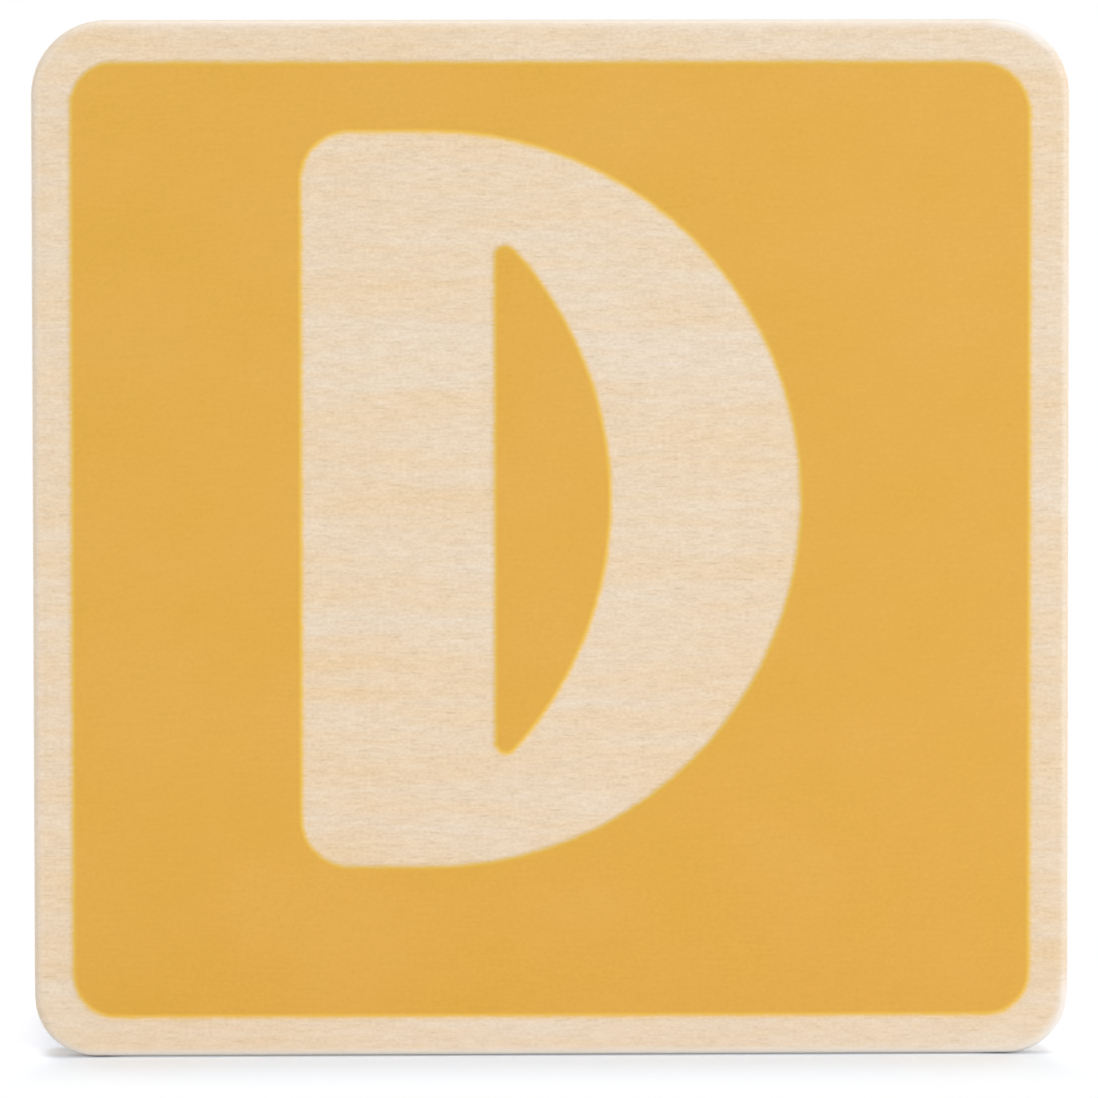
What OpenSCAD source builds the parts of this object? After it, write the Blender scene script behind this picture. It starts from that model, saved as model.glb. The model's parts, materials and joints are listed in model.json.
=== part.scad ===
// Letter train car: a wooden block car whose wheels run hidden between two square letter panels.
// X runs along the train, the letter that is read faces -Y, Z is up, and the floor is at Z = 0.

/* [Letter panels] */
// Width and height of each square panel
panel_size = 65; // [58:0.5:90]
// Thickness of each panel
panel_t = 6; // [5:0.5:10]
// Radius of a panel's two upper corners
panel_top_r = 4.7; // [2:0.1:8]
// Radius of a panel's two lower corners
panel_foot_r = 3.8; // [2:0.1:8]
// Radius that the panel's edges are sanded to
panel_edge_r = 0.5; // [0.3:0.1:1.5]
// Gap between the floor and the panels' lower edge
ground_gap = 0.1; // [0.1:0.1:3]

/* [Printed field] */
// Bare wood left at each side of the printed field
print_side_border = 2.4; // [1:0.05:6]
// Bare wood left above and below the field
print_end_border = 2.5; // [1:0.05:6]
// How far the field's middle lies below the panel's middle
print_drop = 0.1; // [0:0.02:0.4]
// Radius of three of the field's corners
print_corner_r = 2.8; // [1:0.1:6]
// Radius of the field's upper right corner
print_top_right_r = 3.4; // [1:0.1:6]
// Thickness of the ink
print_t = 0.08; // [0.05:0.01:0.2]

/* [Letter] */
// Height of the letter left bare in the field
letter_h = 46; // [30:0.1:50]
// Width of the letter
letter_w = 31.2; // [28:0.1:40]
// Width of the letter's upright stroke
letter_stem = 12; // [6:0.1:14]
// Thickness of the letter's top and bottom strokes
letter_bar = 7; // [4:0.1:9]
// Thickness of the letter's round stroke at its widest
letter_bowl = 11.8; // [6:0.1:14]
// Radius of the letter's two outer corners
letter_corner_r = 3; // [0.5:0.1:5]
// Radius of the two tips of the letter's counter
counter_tip_r = 0.75; // [0.3:0.05:1.5]
// Height of the letter's middle above the panel's middle
letter_raise = 2.45; // [0:0.05:4]

/* [Body] */
// How far the body block stands back from the panels' outline
block_inset = 1; // [0.5:0.1:3]
// Radius of the block's lower corners
block_foot_r = 1; // [0.5:0.1:2]
// Thickness of the strip that carries the axles
bearer_w = 8; // [6:0.5:12]
// Height of the strip's underside above the floor
bearer_lift = 3.5; // [2:0.1:5]
// Radius of the strip's lower corners
bearer_corner_r = 2; // [1:0.1:4]
// Chamfer along the strip's two lower edges
bearer_chamfer = 0.6; // [0.2:0.1:1.5]
// Depth of the groove that the strip is glued into
tongue_depth = 4; // [2:0.5:6]
// Play on each side of the strip in its groove
groove_play = 0.05; // [0.02:0.01:0.2]

/* [Running gear] */
// Diameter of the wheels
wheel_d = 20; // [16:0.5:24]
// Width of the wheels
wheel_w = 5; // [4:0.5:8]
// Radius of the wheel's tread edges
wheel_edge_r = 0.8; // [0.3:0.1:1.5]
// Diameter of the boss in the middle of the wheel
wheel_boss_d = 9; // [7:0.5:11]
// Width of the raised rim around the wheel's dish
wheel_rim = 2.5; // [1.5:0.1:3]
// Depth of the wheel's dish
wheel_dish = 0.8; // [0.3:0.1:1.5]
// Running gap on each side of a wheel
wheel_gap = 0.5; // [0.3:0.1:1.5]
// Room above the wheels
well_clearance = 2; // [1:0.5:4]
// How far the wheels stand back from the panels' side edges
wheel_setback = 4.5; // [2:0.5:8]
// Diameter of the axles
axle_d = 4; // [3:0.5:5]
// Radial clearance of an axle in its bore
axle_clearance = 0.08; // [0.02:0.01:0.1]
// Chamfer on the axles' ends
axle_chamfer = 0.4; // [0.2:0.1:0.8]

/* [Couplers] */
// Diameter of the ring magnets
magnet_d = 12; // [10:0.5:14]
// Thickness of the ring magnets
magnet_t = 4; // [3:0.5:6]
// Chamfer on the magnets' outer edges
magnet_chamfer = 0.3; // [0.1:0.1:0.6]
// Radial play of a magnet in its recess
magnet_play = 0.1; // [0.05:0.05:0.3]
// How far a magnet's face stands back from the panels' side edges
coupler_setback = 0.2; // [0.1:0.05:0.5]
// Wood left between the bearer's groove and a magnet's recess
coupler_wall = 1; // [0.5:0.5:3]
// Diameter of the screw's shank
screw_d = 2.8; // [2:0.1:3.4]
// Diameter of the screw's countersunk head
screw_head_d = 6; // [5:0.1:7]
// Length of the screw
screw_len = 16; // [10:1:20]
// Length of the screw's point
screw_point = 2.8; // [1:0.1:5]
// Diameter of the blunt tip of the screw's point
screw_tip_d = 0.6; // [0.3:0.1:1.2]
// Depth of the screw's cross recess
screw_recess = 1.1; // [0.6:0.1:1.4]
// Width of each arm of the cross recess
screw_slot_w = 0.7; // [0.4:0.1:1]
// Length of each arm of the cross recess, from end to end
screw_slot_len = 3.6; // [2:0.1:4]
// Radial play of the screw in the magnet
screw_play = 0.2; // [0.1:0.05:0.4]

/* [Dowels] */
// Diameter of the dowels that pin the panels to the block
dowel_d = 6; // [4:0.5:8]
// How deep a dowel goes into each panel
dowel_bite = 4; // [2:0.5:4.5]
// Wood left between an upper dowel and the block's outline
dowel_edge = 6; // [3:0.5:10]
// Wood left between a lower dowel and the point of the screw beside it
dowel_wall = 4; // [2:0.5:6]
// Chamfer on the dowels' ends
dowel_chamfer = 0.5; // [0.2:0.1:1]

/* [Hidden] */
$fn = 64;

pale_wood = [0.92, 0.83, 0.72];
warm_wood = [0.87, 0.74, 0.58];
ink = [0.89, 0.69, 0.32];
bright_metal = [0.78, 0.79, 0.8];

// Across the car, from its middle outwards
block_w = bearer_w + 2 * (wheel_w + 2 * wheel_gap);
panel_face_y = block_w / 2 + panel_t;
wheel_inner_y = bearer_w / 2 + wheel_gap;
axle_len = 2 * (wheel_inner_y + wheel_w);
dowel_len = block_w + 2 * dowel_bite;

// Up from the floor
panel_mid_z = ground_gap + panel_size / 2;
axle_z = wheel_d / 2;
well_top_z = wheel_d + well_clearance;
groove_top_z = well_top_z + tongue_depth;
coupler_z = groove_top_z + coupler_wall + magnet_play + magnet_d / 2;
block_top_z = ground_gap + panel_size - block_inset;
upper_dowel_z = block_top_z - dowel_edge - dowel_d / 2;

// Along the car
block_len = panel_size - 2 * block_inset;
axle_x = panel_size / 2 - wheel_setback - wheel_d / 2;
coupler_face_x = panel_size / 2 - coupler_setback;
upper_dowel_x = block_len / 2 - dowel_edge - dowel_d / 2;
lower_dowel_x = coupler_face_x - screw_len - dowel_wall - dowel_d / 2;

// How far cutting shapes run past the faces that they open
overcut = 1;

// Points along an arc about a centre, from angle a0 to a1
arc_steps = 40;
function arc(centre, r, a0, a1) = [
    for (i = [0 : arc_steps])
        let (a = a0 + (a1 - a0) * i / arc_steps)
        [centre[0] + r * cos(a), centre[1] + r * sin(a)]
];

// A rectangle centred on the origin, with its own radius at each corner, from the upper right one leftwards
module rounded_rectangle(w, h, radii) {
    corner_sides = [[1, 1], [-1, 1], [-1, -1], [1, -1]];
    polygon([
        for (i = [0 : 3])
            let (r = radii[i], centre = [corner_sides[i][0] * (w / 2 - r), corner_sides[i][1] * (h / 2 - r)])
            each arc(centre, r, 90 * i, 90 * i + 90)
    ]);
}

// Section through the rim of a plate or wheel, from its axis out to radius r, with rounded outer edges
module rim_section(r, t, edge_r) {
    intersection() {
        square([r, t]);
        union() {
            square([r - edge_r, t]);
            translate([0, edge_r]) square([r, t - 2 * edge_r]);
            for (z = [edge_r, t - edge_r])
                translate([r - edge_r, z]) circle(edge_r);
        }
    }
}

// A square plate with rounded edges, from Z = 0 to Z = t, with its own corner radii at +Y and at -Y
module eased_plate(size, t, top_r, foot_r, edge_r) {
    corner_radii = [top_r, top_r, foot_r, foot_r];
    rim = max(corner_radii);
    core = size - 2 * rim;
    translate([-core / 2, -core / 2, 0]) cube([core, core, t]);
    for (i = [0 : 3]) rotate(90 * i) {
        corner_r = corner_radii[i];
        other_r = corner_radii[(i + 3) % 4];
        corner = size / 2 - corner_r;
        translate([size / 2 - rim, corner, 0]) rotate([90, 0, 0])
            linear_extrude(size - corner_r - other_r) rim_section(rim, t, edge_r);
        translate([corner, corner, 0])
            rotate_extrude(angle = 90) rim_section(corner_r, t, edge_r);
    }
}

// A rod along Z with chamfered ends, centred on the origin
module chamfered_rod(d, length, chamfer) {
    end = length / 2;
    rotate_extrude() polygon([
        [0, -end], [d / 2 - chamfer, -end], [d / 2, chamfer - end],
        [d / 2, end - chamfer], [d / 2 - chamfer, end], [0, end]
    ]);
}

// Turns a shape built along Z so that it lies across the car, its top towards +Y
module across_car() {
    rotate([-90, 0, 0]) children();
}

// Turns a shape built along Z so that it lies along the train, its top towards +X
module along_car() {
    rotate([0, 90, 0]) children();
}

// Puts a shape drawn in X and Z on the outside of the front panel, t thick towards the viewer
module on_front_face(t) {
    translate([0, -panel_face_y, 0]) rotate([90, 0, 0]) linear_extrude(t) children();
}

// Where the four dowels go, in X and Z: two near the top corners, two between the couplers' screws
dowel_places = [
    [-upper_dowel_x, upper_dowel_z],
    [upper_dowel_x, upper_dowel_z],
    [-lower_dowel_x, coupler_z],
    [lower_dowel_x, coupler_z]
];

module at_dowel(i) {
    translate([dowel_places[i][0], 0, dowel_places[i][1]]) across_car() children();
}

module dowel(i) {
    color(warm_wood) at_dowel(i) chamfered_rod(dowel_d, dowel_len, dowel_chamfer);
}

module dowel_holes() {
    for (i = [0 : len(dowel_places) - 1])
        at_dowel(i) cylinder(d = dowel_d, h = dowel_len, center = true);
}

// Square letter panel, pinned to the block by blind dowel holes in its inner face
module front_panel() {
    color(pale_wood) difference() {
        translate([0, -block_w / 2, panel_mid_z]) rotate([90, 0, 0])
            eased_plate(panel_size, panel_t, panel_top_r, panel_foot_r, panel_edge_r);
        dowel_holes();
    }
}

// The rear panel is the front one turned about the car's middle
module rear_panel() {
    rotate(180) front_panel();
}

// The letter's outline: a straight stem, two rounded corners and a bowl that is half a circle
module letter_outline() {
    left = -letter_w / 2;
    bowl_r = letter_h / 2;
    corner_y = letter_h / 2 - letter_corner_r;
    polygon(concat(
        arc([letter_w / 2 - bowl_r, 0], bowl_r, -90, 90),
        arc([left + letter_corner_r, corner_y], letter_corner_r, 90, 180),
        arc([left + letter_corner_r, -corner_y], letter_corner_r, 180, 270)
    ));
}

// The letter's counter: a straight side and one arc that meets it in two rounded tips
module letter_counter() {
    left = -letter_w / 2 + letter_stem;
    depth = letter_w - letter_stem - letter_bowl;
    tip_x = left + counter_tip_r;
    tip_y = letter_h / 2 - letter_bar - counter_tip_r;
    tip_depth = depth - counter_tip_r;
    arc_r = (tip_y * tip_y + tip_depth * tip_depth - counter_tip_r * counter_tip_r)
        / (2 * (depth - 2 * counter_tip_r));
    arc_x = left + depth - arc_r;
    meet = atan2(tip_y, tip_x - arc_x);
    polygon(concat(
        arc([arc_x, 0], arc_r, -meet, meet),
        arc([tip_x, tip_y], counter_tip_r, meet, 180),
        arc([tip_x, -tip_y], counter_tip_r, 180, 360 - meet)
    ));
}

// Ink on the panel's face: the field with the letter left bare, and the letter's counter
module front_print() {
    field_w = panel_size - 2 * print_side_border;
    field_h = panel_size - 2 * print_end_border;
    corner_radii = [print_top_right_r, print_corner_r, print_corner_r, print_corner_r];
    color(ink) on_front_face(print_t) {
        difference() {
            translate([0, panel_mid_z - print_drop]) rounded_rectangle(field_w, field_h, corner_radii);
            translate([0, panel_mid_z + letter_raise]) letter_outline();
        }
        translate([0, panel_mid_z + letter_raise]) letter_counter();
    }
}

module rear_print() {
    rotate(180) front_print();
}

// Outline of a block seen from the side, with its own radii at the top and at the foot
module block_outline(length, bottom_z, top_z, top_r, foot_r) {
    translate([-length / 2, bottom_z + foot_r])
        square([length, top_z - top_r - bottom_z - foot_r]);
    translate([-length / 2 + top_r, top_z - top_r]) square([length - 2 * top_r, top_r]);
    translate([-length / 2 + foot_r, bottom_z]) square([length - 2 * foot_r, foot_r]);
    for (side = [-1, 1]) {
        translate([side * (length / 2 - top_r), top_z - top_r]) circle(top_r);
        translate([side * (length / 2 - foot_r), bottom_z + foot_r]) circle(foot_r);
    }
}

// Solid block between the panels, above the wheels
module body_block() {
    top_r = panel_top_r - block_inset;
    recess_floor_x = coupler_face_x - magnet_t;
    color(warm_wood) difference() {
        rotate([90, 0, 0]) linear_extrude(block_w, center = true)
            block_outline(block_len, well_top_z, block_top_z, top_r, block_foot_r);
        translate([-block_len / 2 - overcut, -bearer_w / 2 - groove_play, well_top_z - overcut])
            cube([block_len + 2 * overcut, bearer_w + 2 * groove_play, tongue_depth + overcut]);
        dowel_holes();
        for (turn = [0, 180]) rotate(turn) translate([0, 0, coupler_z]) {
            translate([recess_floor_x, 0, 0]) along_car()
                cylinder(d = magnet_d + 2 * magnet_play, h = magnet_t + overcut);
            translate([coupler_face_x - screw_len, 0, 0]) along_car()
                cylinder(d = screw_d, h = screw_len);
        }
    }
}

// The strip's outline seen from the side, with rounded lower corners
module bearer_outline() {
    translate([-block_len / 2, bearer_lift + bearer_corner_r])
        square([block_len, groove_top_z - bearer_lift - bearer_corner_r]);
    translate([-block_len / 2 + bearer_corner_r, bearer_lift])
        square([block_len - 2 * bearer_corner_r, bearer_corner_r]);
    for (side = [-1, 1])
        translate([side * (block_len / 2 - bearer_corner_r), bearer_lift + bearer_corner_r])
            circle(bearer_corner_r);
}

// The strip's section, with chamfered lower edges
module bearer_section() {
    half = bearer_w / 2;
    polygon([
        [bearer_chamfer - half, bearer_lift], [half - bearer_chamfer, bearer_lift],
        [half, bearer_lift + bearer_chamfer], [half, groove_top_z],
        [-half, groove_top_z], [-half, bearer_lift + bearer_chamfer]
    ]);
}

// Strip under the block that both axles turn in
module axle_bearer() {
    color(warm_wood) difference() {
        intersection() {
            rotate([90, 0, 0]) linear_extrude(bearer_w, center = true) bearer_outline();
            rotate([90, 0, 90]) linear_extrude(block_len, center = true) bearer_section();
        }
        for (side = [-1, 1]) translate([side * axle_x, 0, axle_z]) across_car()
            cylinder(d = axle_d + 2 * axle_clearance, h = bearer_w + 2 * overcut, center = true);
    }
}

// Steel axle with a wheel pressed on each end; side is -1 at the left and 1 at the right
module axle(side) {
    color(bright_metal) translate([side * axle_x, 0, axle_z]) across_car()
        chamfered_rod(axle_d, axle_len, axle_chamfer);
}

// Turned wheel along Z, its plain inner face at Z = 0 and its dished face outwards
module wheel_blank() {
    dish_outer_r = wheel_d / 2 - wheel_rim;
    rotate_extrude() difference() {
        rim_section(wheel_d / 2, wheel_w, wheel_edge_r);
        square([axle_d / 2, wheel_w]);
        translate([wheel_boss_d / 2, wheel_w - wheel_dish])
            square([dish_outer_r - wheel_boss_d / 2, wheel_dish]);
    }
}

// One wheel in place; face is -1 at the front of the car and 1 at the rear
module wheel(side, face) {
    color(warm_wood) translate([side * axle_x, face * wheel_inner_y, axle_z])
        rotate([-90 * face, 0, 0]) wheel_blank();
}

// Ring magnet along Z, countersunk for its screw, with its face at Z = 0
module magnet_ring() {
    hole_r = screw_d / 2 + screw_play;
    sink_r = screw_head_d / 2 + screw_play;
    sink = sink_r - hole_r;
    rotate_extrude() polygon([
        [sink_r, 0], [magnet_d / 2 - magnet_chamfer, 0], [magnet_d / 2, -magnet_chamfer],
        [magnet_d / 2, -magnet_t + magnet_chamfer], [magnet_d / 2 - magnet_chamfer, -magnet_t],
        [hole_r, -magnet_t], [hole_r, -sink]
    ]);
}

// Countersunk wood screw along Z, its head sunk to where it bears on the magnet
module countersunk_screw() {
    head_h = (screw_head_d - screw_d) / 2;
    head_z = -screw_play;
    difference() {
        rotate_extrude() polygon([
            [0, head_z], [screw_head_d / 2, head_z], [screw_d / 2, head_z - head_h],
            [screw_d / 2, screw_point - screw_len], [screw_tip_d / 2, -screw_len], [0, -screw_len]
        ]);
        for (turn = [0, 90]) rotate(turn)
            translate([-screw_slot_len / 2, -screw_slot_w / 2, head_z - screw_recess])
                cube([screw_slot_len, screw_slot_w, screw_recess + overcut]);
    }
}

// Puts a part of a coupler at one end of the car; side is -1 at the left and 1 at the right
module at_coupler(side) {
    rotate(side < 0 ? 180 : 0) translate([coupler_face_x, 0, coupler_z]) along_car() children();
}

module magnet(side) {
    color(bright_metal) at_coupler(side) magnet_ring();
}

module magnet_screw(side) {
    color(bright_metal) at_coupler(side) countersunk_screw();
}

front_panel();
rear_panel();
front_print();
rear_print();
body_block();
axle_bearer();
dowel(0);  // upper_left_dowel
dowel(1);  // upper_right_dowel
dowel(2);  // lower_left_dowel
dowel(3);  // lower_right_dowel
axle(-1);  // left_axle
axle(1);  // right_axle
wheel(-1, -1);  // left_front_wheel
wheel(-1, 1);  // left_rear_wheel
wheel(1, -1);  // right_front_wheel
wheel(1, 1);  // right_rear_wheel
magnet(-1);  // left_magnet
magnet(1);  // right_magnet
magnet_screw(-1);  // left_magnet_screw
magnet_screw(1);  // right_magnet_screw
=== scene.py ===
"""Letter train car: the looks of its bare plywood, printed ink, beech running gear and plated couplers."""
import json
import math

import bmesh
import bpy
from mathutils import Matrix, Vector, noise

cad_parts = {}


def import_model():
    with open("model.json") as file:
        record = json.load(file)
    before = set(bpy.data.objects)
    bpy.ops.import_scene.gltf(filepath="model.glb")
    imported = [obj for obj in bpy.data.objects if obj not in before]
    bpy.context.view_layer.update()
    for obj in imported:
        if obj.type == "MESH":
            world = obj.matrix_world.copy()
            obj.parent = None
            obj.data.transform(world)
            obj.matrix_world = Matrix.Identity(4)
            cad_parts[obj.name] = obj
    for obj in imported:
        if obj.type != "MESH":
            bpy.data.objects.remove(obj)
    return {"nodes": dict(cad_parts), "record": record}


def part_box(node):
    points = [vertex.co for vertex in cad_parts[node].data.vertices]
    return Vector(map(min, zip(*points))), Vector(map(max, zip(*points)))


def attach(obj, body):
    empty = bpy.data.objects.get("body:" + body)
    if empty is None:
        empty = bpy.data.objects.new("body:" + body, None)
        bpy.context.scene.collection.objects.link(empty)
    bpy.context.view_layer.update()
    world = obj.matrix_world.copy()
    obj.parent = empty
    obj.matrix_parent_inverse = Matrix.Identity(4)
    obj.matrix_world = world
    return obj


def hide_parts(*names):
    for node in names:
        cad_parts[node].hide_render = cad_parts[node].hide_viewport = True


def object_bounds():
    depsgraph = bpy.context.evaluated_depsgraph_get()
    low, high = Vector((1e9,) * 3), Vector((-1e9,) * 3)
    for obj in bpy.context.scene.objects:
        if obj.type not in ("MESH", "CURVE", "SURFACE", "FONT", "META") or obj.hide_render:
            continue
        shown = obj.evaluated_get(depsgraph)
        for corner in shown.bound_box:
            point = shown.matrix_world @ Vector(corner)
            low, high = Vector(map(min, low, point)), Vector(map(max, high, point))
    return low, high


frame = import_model()
cad_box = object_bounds()

MM = 0.001
UP = Vector((0, 0, 1))

# Where the photograph was taken from, and how much of the panel's plane its frame spans
VIEW_AZIMUTH = -1.41
VIEW_ELEVATION = 3.35
VIEW_ROLL = -0.06
VIEW_DISTANCE = 550 * MM
VIEW_SPAN = 68.85 * MM
VIEW_AIM = (-0.16 * MM, 31.97 * MM)
SENSOR = 36

# Half the car's length and depth, and the size and place of its rear panel, in millimetres
car_half_x, car_half_y, _ = Vector(cad_box[1]) / MM
panel_low, panel_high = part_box("rear_panel")
panel_half = (panel_high.x - panel_low.x) / MM / 2
panel_middle = (panel_high.z + panel_low.z) / MM / 2
panel_inner = panel_low.y / MM
panel_t = (panel_high.y - panel_low.y) / MM


def srgb(red, green, blue):
    """A colour as it is seen on a screen, from 0 to 255, as the linear colour that a shader takes."""
    def linear(value):
        value /= 255
        return value / 12.92 if value <= 0.04045 else ((value + 0.055) / 1.055) ** 2.4
    return (linear(red), linear(green), linear(blue), 1.0)


class Nodes:
    """A node tree, built one node at a time from values that are sockets to link or numbers to set."""

    # Sockets of a mix node for its factor, its two colours and the colour that comes out
    MIX_FACTOR = 0
    MIX_LOW = 6
    MIX_HIGH = 7
    MIX_RESULT = 2

    def __init__(self, tree):
        self.tree = tree

    def new(self, kind, **settings):
        node = self.tree.nodes.new("ShaderNode" + kind)
        for setting, value in settings.items():
            setattr(node, setting, value)
        return node

    def put(self, socket, value):
        if isinstance(value, bpy.types.NodeSocket):
            self.tree.links.new(value, socket)
        else:
            socket.default_value = value

    def fill(self, node, values):
        """Puts values into a node's inputs by their names."""
        for name, value in values.items():
            self.put(node.inputs[name], value)

    def add(self, kind, *values, **settings):
        """The first output of a new node whose inputs are given in order."""
        node = self.new(kind, **settings)
        for socket, value in zip(node.inputs, values):
            self.put(socket, value)
        return node.outputs[0]

    def math(self, operation, *values):
        return self.add("Math", *values, operation=operation)

    def vector_math(self, operation, *values):
        return self.add("VectorMath", *values, operation=operation)

    def product(self, first, *others):
        for other in others:
            first = self.math("MULTIPLY", first, other)
        return first

    def invert(self, share):
        """What a share leaves of 1."""
        return self.math("SUBTRACT", 1.0, share)

    def mix(self, factor, low, high):
        """A number that goes from low to high with the factor."""
        return self.math("ADD", low, self.math("MULTIPLY", factor, self.math("SUBTRACT", high, low)))

    def smooth(self, value, start, end):
        """A smooth step from 0 at the start to 1 at the end, which may be the lower of the two."""
        node = self.new("MapRange", interpolation_type="SMOOTHSTEP")
        self.fill(node, {"Value": value, "From Min": start, "From Max": end})
        return node.outputs["Result"]

    def place(self):
        """The point in the object's own coordinates, in millimetres."""
        node = self.new("VectorMath", operation="SCALE")
        self.fill(node, {"Vector": self.new("TexCoord").outputs["Object"], "Scale": 1 / MM})
        return node.outputs["Vector"]

    def normal(self):
        return self.new("TexCoord").outputs["Normal"]

    def attribute(self, name):
        """A number stored on the points of the mesh."""
        return self.new("Attribute", attribute_name=name).outputs["Fac"]

    def split(self, vector):
        node = self.new("SeparateXYZ")
        self.put(node.inputs["Vector"], vector)
        return node.outputs

    def join(self, *values):
        return self.add("CombineXYZ", *values)

    def length(self, vector):
        node = self.new("VectorMath", operation="LENGTH")
        self.put(node.inputs["Vector"], vector)
        return node.outputs["Value"]

    def noise(self, vector, size, detail=2.0, roughness=0.5):
        """Smooth noise around 0.5, whose grains measure size in millimetres along each axis."""
        node = self.new("TexNoise")
        self.fill(node, {
            "Vector": self.vector_math("DIVIDE", vector, size),
            "Scale": 1.0,
            "Detail": detail,
            "Roughness": roughness,
            "Distortion": 0.0,
        })
        return node.outputs["Fac"]

    def tone(self, middle, *layers):
        """A number around the middle, from layers of noise around 0.5, each with its weight."""
        total = middle - 0.5 * sum(weight for _, weight in layers)
        for layer, weight in layers:
            total = self.math("MULTIPLY_ADD", layer, weight, total)
        return total

    def ramp(self, value, colours, start=0.0, end=1.0):
        """A colour looked up among colours that are evenly spaced from the start to the end."""
        node = self.new("ValToRGB")
        self.put(node.inputs["Fac"], value)
        elements = node.color_ramp.elements
        while len(elements) < len(colours):
            elements.new(1.0)
        for i, colour in enumerate(colours):
            elements[i].position = start + (end - start) * i / (len(colours) - 1)
            elements[i].color = colour
        return node.outputs["Color"]

    def blend(self, factor, low, high):
        """A colour that goes from low to high with the factor."""
        node = self.new("Mix", data_type="RGBA")
        self.put(node.inputs[self.MIX_FACTOR], factor)
        self.put(node.inputs[self.MIX_LOW], low)
        self.put(node.inputs[self.MIX_HIGH], high)
        return node.outputs[self.MIX_RESULT]


class Shader(Nodes):
    """A material's nodes, with constants for the sockets of its surface."""

    def __init__(self, name, **constants):
        self.material = bpy.data.materials.new(name)
        self.material.use_nodes = True
        super().__init__(self.material.node_tree)
        self.surface = self.tree.nodes["Principled BSDF"]
        for socket, value in constants.items():
            self.put(self.surface.inputs[socket.replace("_", " ")], value)

    def finish(self, colour, roughness, height, depth):
        """The material, with its colour, its roughness and a bump that is depth deep in metres linked."""
        bump = self.new("Bump")
        self.fill(bump, {"Strength": 1.0, "Distance": depth, "Height": height})
        self.fill(self.surface, {
            "Base Color": colour,
            "Roughness": roughness,
            "Normal": bump.outputs["Normal"],
        })
        return self.material


# Pale veneer, the face of the panels' plywood

# Sizes of its grains along the fibres, through the ply and across the fibres
GRIT = (0.25, 0.2, 0.16)
FLECKS = (0.9, 0.24, 0.2)
PORES = (1.1, 0.2, 0.13)
DASHES = (3.5, 0.6, 0.35)
STREAKS = (12.0, 1.5, 1.2)
CLOUDS = (40.0, 6.0, 4.0)
# Levels of noise over which a pore opens, and how much darker it is
PORE_LEVELS = (0.68, 0.8)
PORE_DARK = 0.3
PALE_VENEER = (srgb(223, 200, 170), srgb(238, 219, 197), srgb(249, 235, 216))
AMBER_VENEER = (srgb(222, 191, 144), srgb(238, 206, 161), srgb(249, 222, 184))


def veneer(s, fibre):
    """Colour, flecks and pores of sanded pale veneer, whose grain runs along the first axis of fibre."""
    grit = s.noise(fibre, GRIT, detail=0.0)
    flecks = s.noise(fibre, FLECKS, detail=0.0)
    pores = s.smooth(s.noise(fibre, PORES, detail=0.0), *PORE_LEVELS)
    tone = s.math("MULTIPLY_ADD", pores, -PORE_DARK, s.tone(0.53, (grit, 0.55), (flecks, 0.5)))
    dashes = s.noise(fibre, DASHES, detail=1.0)
    streaks = s.noise(fibre, STREAKS, detail=1.0)
    clouds = s.noise(fibre, CLOUDS, detail=1.0)
    warmth = s.tone(0.5, (dashes, 0.5), (streaks, 0.9), (clouds, 0.7))
    colour = s.blend(warmth, s.ramp(tone, PALE_VENEER), s.ramp(tone, AMBER_VENEER))
    return colour, s.tone(0.5, (grit, 0.5), (flecks, 0.5)), pores


# Plywood of the panels

PLY_COUNT = 5
ply_t = panel_t / PLY_COUNT
# How far the grain's pattern is moved from one ply to the next
PLY_SHIFT = 52.9
# Depths over which the face gives way to what shows on a panel's edges
EDGE_DEPTHS = (0.3, 1.0)
END_GRAIN = srgb(203, 167, 126)
END_GRAIN_SHARE = 0.55
# Glue lines between the plies: how far they reach on each side, in plies, and how far the surface has to
# turn from the face for them to show
GLUE = srgb(150, 110, 72)
GLUE_SHARE = 0.55
GLUE_REACH = (0.05, 0.015)
GLUE_TURN = (0.2, 0.5)
# Radii of the panels' upper and lower corners
TOP_CORNER = 4.7
FOOT_CORNER = 3.8
# Painted highlight on the face's rounded edge, in a colour shared with the painted light at its foot: how
# far in from the outline it reaches, how much at its sides, top and foot, and over which part of a corner's
# height the sides give way to the top or the foot
PAINTED_LIGHT_WOOD = srgb(249, 240, 229)
EDGE_HIGHLIGHT_BAND = 0.75
EDGE_HIGHLIGHT_SIDES = 0.28
EDGE_HIGHLIGHT_TOP = 0.6
EDGE_HIGHLIGHT_FOOT = 0.9
EDGE_HIGHLIGHT_CORNER = (0.35, 0.95)
# Painted light: how much paler the face is painted near its foot, and over which heights that fades
PAINTED_FOOT_LIGHT = 0.12
PAINTED_FOOT_HEIGHTS = (6.0, 2.0)
# Spots where the face's edge has its palest painted highlight, by how far they lie to the viewer's right of
# the panel's middle and how far above it, how much paler, and how that fades away from the spot and from the
# outline
CORNER_HIGHLIGHT_WOOD = srgb(252, 247, 243)
HIGHLIGHT_SPOTS = ((panel_half - 2.8, panel_half - 0.6), (panel_half - 0.6, 2.7 - panel_half))
CORNER_HIGHLIGHT = 0.7
HIGHLIGHT_REACH = (3.0, 0.8)
HIGHLIGHT_EDGE_BAND = (0.9, 0.1)


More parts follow.
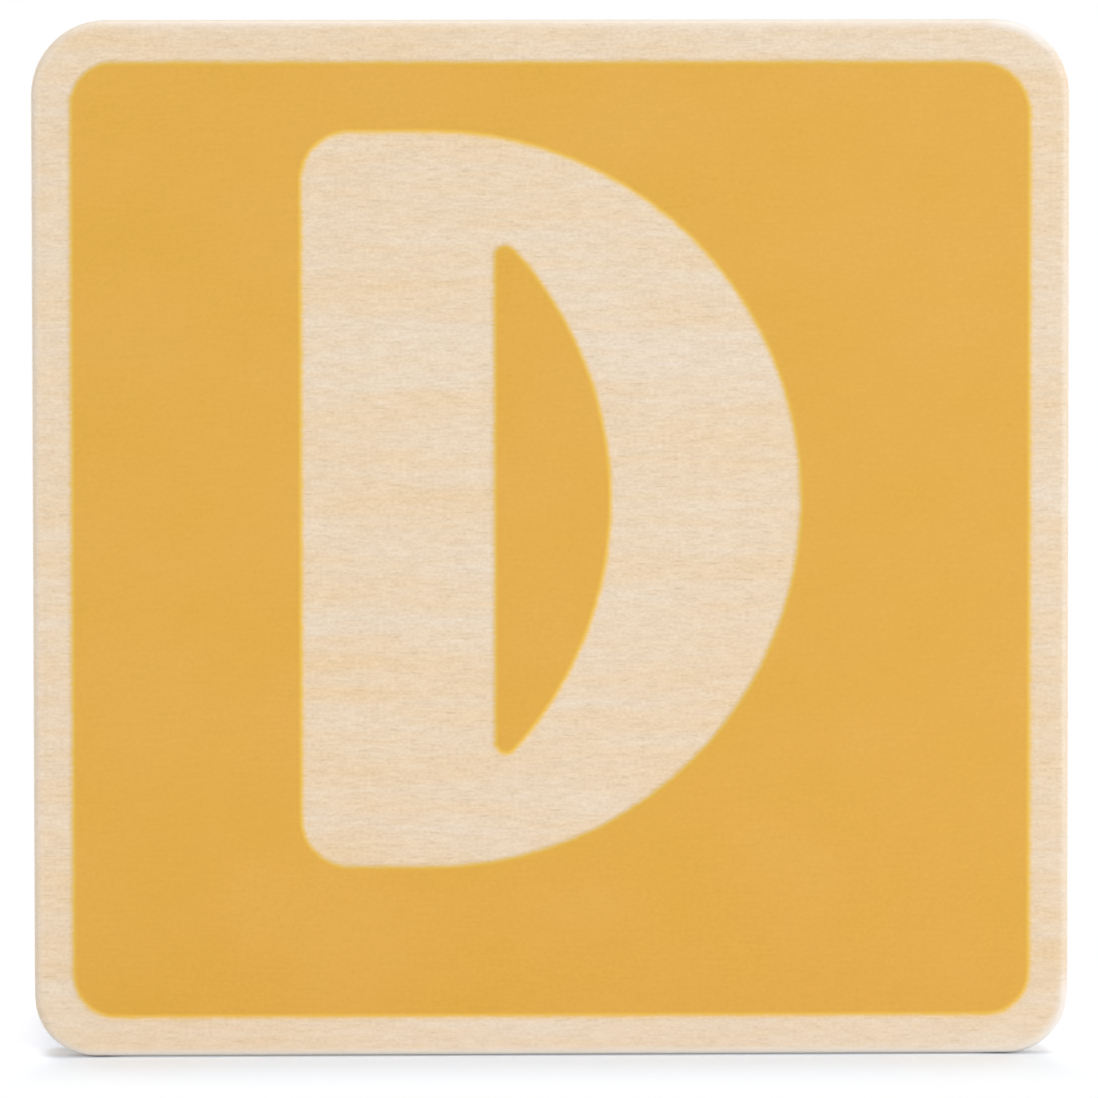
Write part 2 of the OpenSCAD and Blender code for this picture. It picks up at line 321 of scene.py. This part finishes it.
def face_painted_light(s, x, y, lift):
    """Shares of painted light on a panel's face: a highlight on its edge, a paler foot, and a highlight at
    two corners.
    """
    upper = s.math("GREATER_THAN", lift, 0.0)
    corner = s.mix(upper, FOOT_CORNER, TOP_CORNER)
    straight = s.math("SUBTRACT", panel_half, corner)
    reach_x = s.math("MAXIMUM", s.math("SUBTRACT", s.math("ABSOLUTE", x), straight), 0.0)
    reach_z = s.math("MAXIMUM", s.math("SUBTRACT", s.math("ABSOLUTE", lift), straight), 0.0)
    to_edge = s.math("SUBTRACT", corner, s.length(s.join(reach_x, reach_z, 0.0)))

    # The sanded share is a painted highlight along the rounded edge, stronger at the top and foot than at
    # the sides
    highlight_end = s.mix(upper, EDGE_HIGHLIGHT_FOOT, EDGE_HIGHLIGHT_TOP)
    towards_end = s.smooth(s.math("DIVIDE", reach_z, corner), *EDGE_HIGHLIGHT_CORNER)
    sanded = s.product(s.smooth(to_edge, EDGE_HIGHLIGHT_BAND, 0.0), s.mix(towards_end, EDGE_HIGHLIGHT_SIDES, highlight_end))
    # Painted light that makes the face paler near its foot
    painted_foot = s.product(s.smooth(s.math("ADD", lift, panel_half), *PAINTED_FOOT_HEIGHTS), PAINTED_FOOT_LIGHT)

    # The worn share is a painted highlight on the edge at the face's two right-hand corners
    to_right = s.math("MULTIPLY", x, s.math("SIGN", s.math("MULTIPLY", y, -1.0)))
    worn = 0.0
    for right, rise in HIGHLIGHT_SPOTS:
        offset = s.join(s.math("SUBTRACT", to_right, right), s.math("SUBTRACT", lift, rise), 0.0)
        worn = s.math("MAXIMUM", worn, s.smooth(s.length(offset), *HIGHLIGHT_REACH))
    worn = s.product(worn, CORNER_HIGHLIGHT, s.smooth(to_edge, *HIGHLIGHT_EDGE_BAND))
    return s.math("MAXIMUM", sanded, painted_foot), worn


def plywood():
    """Sanded pale plywood: face grain along X, plies and glue lines on its edges."""
    s = Shader("pale_plywood", Specular_IOR_Level=0.5)
    x, y, z = s.split(s.place())
    normal_x, normal_y, normal_z = s.split(s.normal())
    depth = s.math("SUBTRACT", s.math("ABSOLUTE", y), panel_inner)
    layer = s.math("DIVIDE", depth, ply_t)
    ply = s.math("FLOOR", s.math("MINIMUM", s.math("MAXIMUM", layer, 0.0), PLY_COUNT - 0.01))
    crossed = s.math("MODULO", ply, 2.0)
    shift = s.math("MULTIPLY", ply, PLY_SHIFT)
    along = s.math("ADD", s.mix(crossed, x, z), shift)
    across = s.math("ADD", s.mix(crossed, z, x), shift)
    colour, flecks, pores = veneer(s, s.join(along, y, across))

    inside = s.smooth(s.math("SUBTRACT", panel_t, depth), *EDGE_DEPTHS)
    outside = s.invert(inside)
    ends = s.mix(crossed, s.math("ABSOLUTE", normal_x), s.math("ABSOLUTE", normal_z))
    end_grain = s.product(s.smooth(ends, 0.3, 0.9), inside, END_GRAIN_SHARE)
    colour = s.blend(end_grain, colour, END_GRAIN)

    # Painted light: a paler edge and foot, and the worn share, a painted highlight at the edge's two
    # right-hand corners
    paler, worn = face_painted_light(s, x, y, s.math("SUBTRACT", z, panel_middle))
    colour = s.blend(s.product(paler, outside), colour, PAINTED_LIGHT_WOOD)
    colour = s.blend(s.product(worn, outside), colour, CORNER_HIGHLIGHT_WOOD)

    turn = s.invert(s.math("ABSOLUTE", normal_y))
    to_line = s.math("ABSOLUTE", s.math("SUBTRACT", layer, s.math("ROUND", layer)))
    glue = s.product(s.smooth(to_line, *GLUE_REACH), s.smooth(turn, *GLUE_TURN), inside, GLUE_SHARE)
    colour = s.blend(glue, colour, GLUE)

    roughness = s.math("MULTIPLY_ADD", flecks, 0.16, 0.4)
    roughness = s.math("MULTIPLY_ADD", s.smooth(turn, 0.2, 0.9), 0.2, roughness)
    return s.finish(colour, roughness, s.math("SUBTRACT", flecks, pores), 0.006 * MM)


# Beech of the block, the axle bearer, the wheels and the dowels

# Growth rings: their width, how far they wander, and the sizes of the waves that they wander in
RING_WIDTH = 2.3
RING_WANDER = 3.0
RING_WAVES = (60.0, 18.0, 18.0)
# Parts of a ring over which its late wood darkens, and over which it ends
LATE_WOOD = (0.35, 0.92)
LATE_WOOD_END = (1.0, 0.94)
LATE_WOOD_DARK = 0.22
# Sizes of the fibres, the rays and the clouds along and across the grain
BEECH_FIBRES = (9.0, 0.22, 0.22)
BEECH_RAYS = (1.2, 0.22, 0.22)
BEECH_CLOUDS = (30.0, 7.0, 7.0)
RAY_LEVELS = (0.64, 0.72)
RAY_SHARE = 0.5
BEECH = (srgb(190, 148, 104), srgb(219, 184, 143), srgb(234, 206, 170))
BEECH_RAY = srgb(168, 120, 78)
BEECH_END = srgb(190, 146, 103)
BEECH_END_SHARE = 0.35


def beech(name, grain, pith):
    """Sanded beech with its grain along one axis, growth rings about the pith, and short dark flecks."""
    s = Shader(name, Specular_IOR_Level=0.3)
    parts = s.split(s.place())
    normals = s.split(s.normal())
    lie = {"x": (0, 1, 2), "y": (1, 0, 2), "z": (2, 0, 1)}[grain]
    along, side, rise = (parts[i] for i in lie)
    fibre = s.join(along, side, rise)

    wander = s.noise(fibre, RING_WAVES)
    offset = s.join(s.math("SUBTRACT", side, pith[0]), s.math("SUBTRACT", rise, pith[1]), 0.0)
    radius = s.math("MULTIPLY_ADD", wander, RING_WANDER, s.length(offset))
    ring = s.math("FRACT", s.math("DIVIDE", radius, RING_WIDTH))
    late = s.product(s.smooth(ring, *LATE_WOOD), s.smooth(ring, *LATE_WOOD_END))

    fibres = s.noise(fibre, BEECH_FIBRES, detail=3.0, roughness=0.6)
    rays = s.smooth(s.noise(fibre, BEECH_RAYS, detail=1.0), *RAY_LEVELS)
    clouds = s.noise(fibre, BEECH_CLOUDS)

    tone = s.tone(0.55, (fibres, 0.8), (clouds, 0.6))
    colour = s.ramp(s.math("MULTIPLY_ADD", late, -LATE_WOOD_DARK, tone), BEECH)
    colour = s.blend(s.product(rays, RAY_SHARE), colour, BEECH_RAY)
    end_grain = s.smooth(s.math("ABSOLUTE", normals[lie[0]]), 0.5, 0.9)
    colour = s.blend(s.product(end_grain, BEECH_END_SHARE), colour, BEECH_END)

    roughness = s.math("MULTIPLY_ADD", fibres, 0.16, 0.5)
    height = s.math("SUBTRACT", s.math("MULTIPLY", fibres, 0.7), rays)
    return s.finish(colour, roughness, height, 0.012 * MM)


# Ink of the printed field

INK_MOTTLE = (0.28, 0.28, 0.24)
INK_GRAIN = (2.2, 0.5, 0.2)
INK_CLOUDS = (9.0, 9.0, 6.0)
INK_FRINGE = (0.7, 0.3, 0.13)
RICH_INK = (srgb(215, 160, 28), srgb(231, 176, 44))
DULL_INK = (srgb(229, 172, 86), srgb(245, 188, 102))
THIN_INK = srgb(236, 190, 74)
# Painted light and shade on the film's edges: which way the edges painted brightest face, to the viewer's
# right and down, and how much brighter they are, the edges facing the other way being painted as much darker
FRINGE_LEAN = Vector((0.6, -0.8))
FRINGE_LIGHT = 0.06


def ink():
    """Matt screen-printed ink: fine mottle, and an edge that thins out along the wood's grain."""
    s = Shader("yellow_ink", Specular_IOR_Level=0.3)
    place = s.place()
    mottle = s.noise(place, INK_MOTTLE, roughness=0.6)
    grain = s.noise(place, INK_GRAIN)
    clouds = s.noise(place, INK_CLOUDS)
    tone = s.tone(0.5, (mottle, 0.75), (grain, 0.4))
    colour = s.blend(s.tone(0.5, (clouds, 0.38)), s.ramp(tone, RICH_INK), s.ramp(tone, DULL_INK))

    face_shift = PLY_SHIFT * (PLY_COUNT - 1)
    wood, _, _ = veneer(s, s.vector_math("ADD", place, (face_shift, 0.0, face_shift)))
    rim = s.attribute("rim")
    fringe = s.noise(place, INK_FRINGE, detail=1.0)
    bare = s.smooth(s.tone(0.0, (rim, 1.0), (fringe, 0.3)), -0.26, 0.5)
    colour = s.blend(s.smooth(rim, 0.0, 0.45), colour, THIN_INK)
    colour = s.blend(bare, colour, wood)

    # Painted light and shade along the film's edge, by which way the edge faces
    raised = s.product(s.smooth(rim, 0.0, 0.4), s.smooth(rim, 1.0, 0.7))
    light = s.math("MULTIPLY_ADD", s.product(s.attribute("lean"), raised), FRINGE_LIGHT, 1.0)
    colour = s.vector_math("MULTIPLY", colour, s.join(light, light, light))
    roughness = s.math("MULTIPLY_ADD", mottle, 0.14, 0.5)
    return s.finish(colour, roughness, s.math("ADD", mottle, grain), 0.004 * MM)


# Metal of the axles, magnets and screws

SMEARS = (3.0, 3.0, 3.0)
# Levels of tone between which the worn colour gives way to the bright one
METAL_LEVELS = (0.3, 0.65)


def metal(name, bright, worn, roughness, scratch):
    """Plated or drawn metal with fine scratches, which measure scratch in millimetres along each axis."""
    s = Shader(name, Metallic=1.0)
    place = s.place()
    scratches = s.noise(place, scratch, detail=3.0, roughness=0.65)
    tone = s.mix(0.4, scratches, s.noise(place, SMEARS))
    colour = s.ramp(tone, ((*worn, 1.0), (*bright, 1.0)), *METAL_LEVELS)
    return s.finish(colour, s.math("MULTIPLY_ADD", tone, 0.2, roughness - 0.1), scratches, 0.004 * MM)


# The printed film, with edges that wander a little as ink does on wood

OUTLINE_STEP = 0.15 * MM
# How far the edge strays everywhere, and where it cuts across the grain
BLEED = 0.05 * MM
BLEED_ALONG_GRAIN = 0.08 * MM
# How often it strays per millimetre along and across the grain, and the slice of noise that it follows
SOFT_STRAY = (0.6, 0.6, 3.7)
FINE_STRAY = (0.8, 4.5, 11.3)
# How far the film's edge reaches out over the outline, and in from it, as it thins out
RIM_OUT = 0.25 * MM
RIM_IN = 0.35 * MM
# Each ring of the film's edge: how far in from the outline, and how high above the wood
EDGE_RINGS = ((-RIM_OUT, 0.0), (-0.1 * MM, 0.002 * MM), (0.0, 0.007 * MM), (RIM_IN, 0.016 * MM))


def outlines(node, outward):
    """The closed outlines of a CAD film's outer face, each a list of points seen from outside."""
    mesh = frame["nodes"][node].data
    right = UP.cross(outward)
    edges = set()
    for face in mesh.polygons:
        if face.normal.dot(outward) < 0.9:
            continue
        corners = [mesh.vertices[i].co for i in face.vertices]
        keys = [(round(co.dot(right), 7), round(co.z, 7)) for co in corners]
        for start, end in zip(keys, keys[1:] + keys[:1]):
            if (end, start) in edges:
                edges.remove((end, start))
            else:
                edges.add((start, end))
    following = dict(edges)
    loops = []
    while following:
        start = min(following)
        loop = [start]
        step = following.pop(start)
        while step != start:
            loop.append(step)
            step = following.pop(step)
        loops.append([Vector(point) for point in loop])
    return loops


def resample(loop):
    """Points at even steps along a closed outline, each with its direction inwards."""
    ends = loop[1:] + loop[:1]
    lengths = [(b - a).length for a, b in zip(loop, ends)]
    total = sum(lengths)
    count = round(total / OUTLINE_STEP)
    points = []
    index = 0
    start = 0.0
    for i in range(count):
        target = total * i / count
        while target > start + lengths[index]:
            start += lengths[index]
            index += 1
        points.append(loop[index].lerp(ends[index], (target - start) / lengths[index]))
    inwards = []
    for i in range(count):
        run = (points[(i + 1) % count] - points[i - 1]).normalized()
        inwards.append(Vector((-run.y, run.x)))
    return points, inwards


def bleed(point, inward):
    """How far the ink's edge strays from its outline: more where the edge cuts across the grain."""
    at = point / MM
    soft, fine = (noise.noise(Vector((at.x * along, at.y * across, slice_z)))
                  for along, across, slice_z in (SOFT_STRAY, FINE_STRAY))
    return soft * BLEED + fine * BLEED_ALONG_GRAIN * abs(inward.x)


def ring_edges(bm, ring):
    """The edges that join a ring of points."""
    return [bm.edges.get(ends) for ends in zip(ring, ring[1:] + ring[:1])]


def ink_film(name, node, outward):
    """A closed film of ink over a CAD print node, lying on the panel's face."""
    low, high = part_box(node)
    base = Vector((0, high.y if outward.y < 0 else low.y, 0))
    right = UP.cross(outward)
    bm = bmesh.new()
    rim = bm.verts.layers.float.new("rim")
    lean = bm.verts.layers.float.new("lean")
    outer_edges = []
    inner_edges = []
    for loop in outlines(node, outward):
        points, inwards = resample(loop)
        strays = [bleed(p, n) for p, n in zip(points, inwards)]
        rings = []
        for inset, height in EDGE_RINGS:
            share = (RIM_IN - inset) / (RIM_IN + RIM_OUT)
            ring = []
            for p, n, stray in zip(points, inwards, strays):
                flat = p + n * (inset + stray * share)
                vert = bm.verts.new(right * flat.x + UP * flat.y + base + outward * height)
                vert[rim] = share
                # Which way the edge here faces, for its painted light and shade
                vert[lean] = -n.dot(FRINGE_LEAN)
                ring.append(vert)
            rings.append(ring)
        for outer, inner in zip(rings, rings[1:]):
            for i in range(len(outer)):
                bm.faces.new((outer[i - 1], outer[i], inner[i], inner[i - 1]))
        outer_edges += ring_edges(bm, rings[0])
        inner_edges += ring_edges(bm, rings[-1])
    for edges in (outer_edges, inner_edges):
        bmesh.ops.triangle_fill(bm, use_beauty=True, edges=edges)
    bmesh.ops.recalc_face_normals(bm, faces=bm.faces)
    for edge in outer_edges:
        edge.smooth = False
    mesh = bpy.data.meshes.new(name)
    bm.to_mesh(mesh)
    bm.free()
    for face in mesh.polygons:
        face.use_smooth = True
    film = bpy.data.objects.new(name, mesh)
    bpy.context.scene.collection.objects.link(film)
    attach(film, "car")
    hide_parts(node)
    return film


films = [
    ink_film("front_ink", "front_print", Vector((0, -1, 0))),
    ink_film("rear_ink", "rear_print", Vector((0, 1, 0))),
]
ink_material = ink()
for film in films:
    film.data.materials.append(ink_material)

# Finishes of the CAD nodes: by material slot, and by node for the one that has a finish of its own

SLOT_FINISHES = {
    "panel_wood": plywood(),
    "block_wood": beech("block_beech", "x", (-14.0, -22.0)),
    "dowel_wood": beech("dowel_beech", "y", (9.0, 40.0)),
    "wheel_wood": beech("wheel_beech", "z", (31.0, 17.0)),
    "axle_steel": metal("drawn_steel", (0.62, 0.63, 0.65), (0.42, 0.43, 0.45), 0.3, (0.1, 6.0, 0.1)),
    "magnet_nickel": metal("nickel_plate", (0.62, 0.6, 0.56), (0.45, 0.43, 0.4), 0.2, (0.15, 0.9, 0.12)),
    "screw_steel": metal("zinc_plate", (0.5, 0.51, 0.53), (0.33, 0.33, 0.35), 0.3, (0.12, 0.5, 0.5)),
}
NODE_FINISHES = {"axle_bearer": beech("bearer_beech", "x", (26.0, -9.0))}
for part in frame["record"]["subparts"]:
    finish = NODE_FINISHES.get(part["node"]) or SLOT_FINISHES.get(part["material_slot"])
    if finish:
        materials = frame["nodes"][part["node"]].data.materials
        materials.clear()
        materials.append(finish)

# Floor, light and camera

FLOOR_SIZE = 8.0
# Distances from the car, in millimetres, over which the floor goes from lit matt white to plain white
FLOOR_FADE_FRONT = 18.0
FLOOR_FADE_SIDE = 45.0
# Colours of the floor as it lights the car, and as it is seen before, under and beside the car and further
# off: bright enough to leave only the deep shadows, set by region to paint the shade and light seen there,
# with a painted tint that evens out the warm light from the wood
FLOOR_MATT = (0.86, 0.92, 1.0, 1)
FLOOR_BEFORE = (1.005, 1.18, 1.44, 1)
FLOOR_BEFORE_ENDS = (1.045, 1.155, 1.3, 1)
FLOOR_FOOT = (1.06, 1.125, 1.235, 1)
FLOOR_UNDER = (1.5, 1.74, 2.06, 1)
FLOOR_UNDER_PAINTED_LIGHT = (1.7, 2.04, 2.5, 1)
FLOOR_BESIDE = (1.68, 1.84, 2.06, 1)
FLOOR_OFF = (1.84, 1.84, 1.84, 1)
# Where these give way to each other, in millimetres before a panel's face and past the car's two ends, or
# for the colour with painted light past its right end alone
ENDS_BAND = (-16.0, -4.0)
FOOT_BAND = (2.0, 0.0)
UNDER_BAND = (0.5, -3.0)
PAINTED_LIGHT_BAND = (-3.5, -2.0)
OFF_BAND = (1.0, 10.0)
# Where the painted shade before the car starts to fade at its two ends, over what width at the panel, and
# how much wider per millimetre away from it
SHADE_END = -2.5
SHADE_END_WIDTH = 3.7
SHADE_END_SPREAD = 0.9
# Share of plain white painted into the narrow gap under a panel's straight lower edge as light that lifts
# its shadow there, and where that gap fades
GAP_WHITE = 0.25
GAP_FRONT = (0.2, -0.2)
GAP_BACK = (-panel_t, 0.5 - panel_t)
GAP_ENDS = (-4.0, -6.0)

# Strength of the even white surroundings as light
WORLD_LIGHT = 0.22
# Soft lamps: name, place, size and power
LAMPS = (
    ("key_light", (0.86, -0.72, 0.19), 0.36, 6.5),
    ("fill_light", (-1.2, -0.7, 0.3), 0.5, 5.6),
    ("top_light", (0.05, 0.08, 1.2), 1.0, 7.7),
    ("back_light", (-0.55, 0.95, 0.18), 0.3, 2.6),
    ("rear_fill", (0.6, 0.95, 0.18), 0.3, 2.6),
)


def floor_colour(s, x, aside, before):
    """The floor's colour as it is seen, with painted shade and light set by the distances past the car's
    ends and before its panels.
    """
    near = s.blend(s.smooth(aside, *ENDS_BAND), FLOOR_BEFORE, FLOOR_BEFORE_ENDS)
    near = s.blend(s.smooth(before, *FOOT_BAND), near, FLOOR_FOOT)
    painted_light_end = s.smooth(s.math("SUBTRACT", x, car_half_x), *PAINTED_LIGHT_BAND)
    under = s.blend(painted_light_end, FLOOR_UNDER, FLOOR_UNDER_PAINTED_LIGHT)
    near = s.blend(s.smooth(before, *UNDER_BAND), near, under)
    beside = s.blend(s.smooth(aside, *OFF_BAND), FLOOR_BESIDE, FLOOR_OFF)
    width = s.math("MULTIPLY_ADD", s.math("MAXIMUM", before, 0.0), SHADE_END_SPREAD, SHADE_END_WIDTH)
    past_end = s.math("DIVIDE", s.math("SUBTRACT", aside, SHADE_END), width)
    return s.blend(s.smooth(past_end, 0.0, 1.0), near, beside)


def floor_white(s, aside, before):
    """The floor's share of plain white: all far from the car, and a little, as painted light, in the gap
    under a panel.
    """
    far_front = s.math("DIVIDE", before, FLOOR_FADE_FRONT)
    far_side = s.math("DIVIDE", aside, FLOOR_FADE_SIDE)
    far = s.smooth(s.math("MAXIMUM", far_front, far_side), 0.0, 1.0)
    gap = s.product(s.smooth(before, *GAP_BACK), s.smooth(before, *GAP_FRONT), s.smooth(aside, *GAP_ENDS))
    return s.math("MAXIMUM", far, s.product(gap, GAP_WHITE))


def floor():
    """White floor that keeps the car's shadow near it, with painted shade and light there, and is plain
    white to the camera further off.
    """
    bpy.ops.mesh.primitive_plane_add(size=FLOOR_SIZE, location=(0, 0, 0))
    plane = bpy.context.object
    plane.name = "floor"
    s = Shader("white_floor")
    s.tree.nodes.remove(s.surface)
    rays = s.new("LightPath").outputs
    viewed = rays["Is Camera Ray"]
    seen = s.math("MAXIMUM", viewed, rays["Is Glossy Ray"])
    x, y, _ = s.split(s.place())
    aside = s.math("SUBTRACT", s.math("ABSOLUTE", x), car_half_x)
    before = s.math("SUBTRACT", s.math("ABSOLUTE", y), car_half_y)
    matt = s.add("BsdfDiffuse", s.blend(viewed, FLOOR_MATT, floor_colour(s, x, aside, before)))
    white = s.add("Emission")
    either = s.add("MixShader", s.product(seen, floor_white(s, aside, before)), matt, white)
    s.put(s.tree.nodes["Material Output"].inputs["Surface"], either)
    plane.data.materials.append(s.material)


def world():
    """Even white surroundings: white where they are seen, and weaker as light."""
    surroundings = bpy.data.worlds.new("studio")
    surroundings.use_nodes = True
    nodes = Nodes(surroundings.node_tree)
    rays = nodes.new("LightPath").outputs
    seen = nodes.math("MAXIMUM", rays["Is Camera Ray"], rays["Is Glossy Ray"])
    seen = nodes.math("MAXIMUM", seen, rays["Is Transmission Ray"])
    nodes.fill(nodes.tree.nodes["Background"], {
        "Color": (1, 1, 1, 1),
        "Strength": nodes.mix(seen, WORLD_LIGHT, 1.0),
    })
    bpy.context.scene.world = surroundings


def softbox(name, place, size, power):
    """A square soft lamp that faces the middle of the car."""
    data = bpy.data.lights.new(name, "AREA")
    data.shape = "SQUARE"
    data.size = size
    data.energy = power
    lamp = bpy.data.objects.new(name, data)
    bpy.context.scene.collection.objects.link(lamp)
    middle = (Vector(cad_box[0]) + Vector(cad_box[1])) / 2
    lamp.location = place
    lamp.rotation_euler = (middle - lamp.location).to_track_quat("-Z", "Y").to_euler()


def camera():
    """A long lens at the photograph's place, turned so that the aim falls on the frame's middle."""
    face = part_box("front_panel")[0].y
    aim = Vector((VIEW_AIM[0], face, VIEW_AIM[1]))
    azimuth = math.radians(VIEW_AZIMUTH)
    elevation = math.radians(VIEW_ELEVATION)
    level = math.cos(elevation)
    back = Vector((math.sin(azimuth) * level, -math.cos(azimuth) * level, math.sin(elevation)))
    data = bpy.data.cameras.new("photo_view")
    data.sensor_width = SENSOR
    data.sensor_height = SENSOR
    data.sensor_fit = "HORIZONTAL"
    data.lens = SENSOR * VIEW_DISTANCE / VIEW_SPAN
    data.clip_start = 0.01
    data.clip_end = 50
    eye = bpy.data.objects.new("photo_view", data)
    bpy.context.scene.collection.objects.link(eye)
    turn = (-back).to_track_quat("-Z", "Y").to_matrix().to_4x4()
    roll = Matrix.Rotation(math.radians(VIEW_ROLL), 4, "Z")
    eye.matrix_world = Matrix.Translation(aim + back * VIEW_DISTANCE) @ turn @ roll
    bpy.context.scene.camera = eye


floor()
world()
for name, place, size, power in LAMPS:
    softbox(name, place, size, power)
camera()
bpy.context.scene.view_settings.view_transform = "Standard"
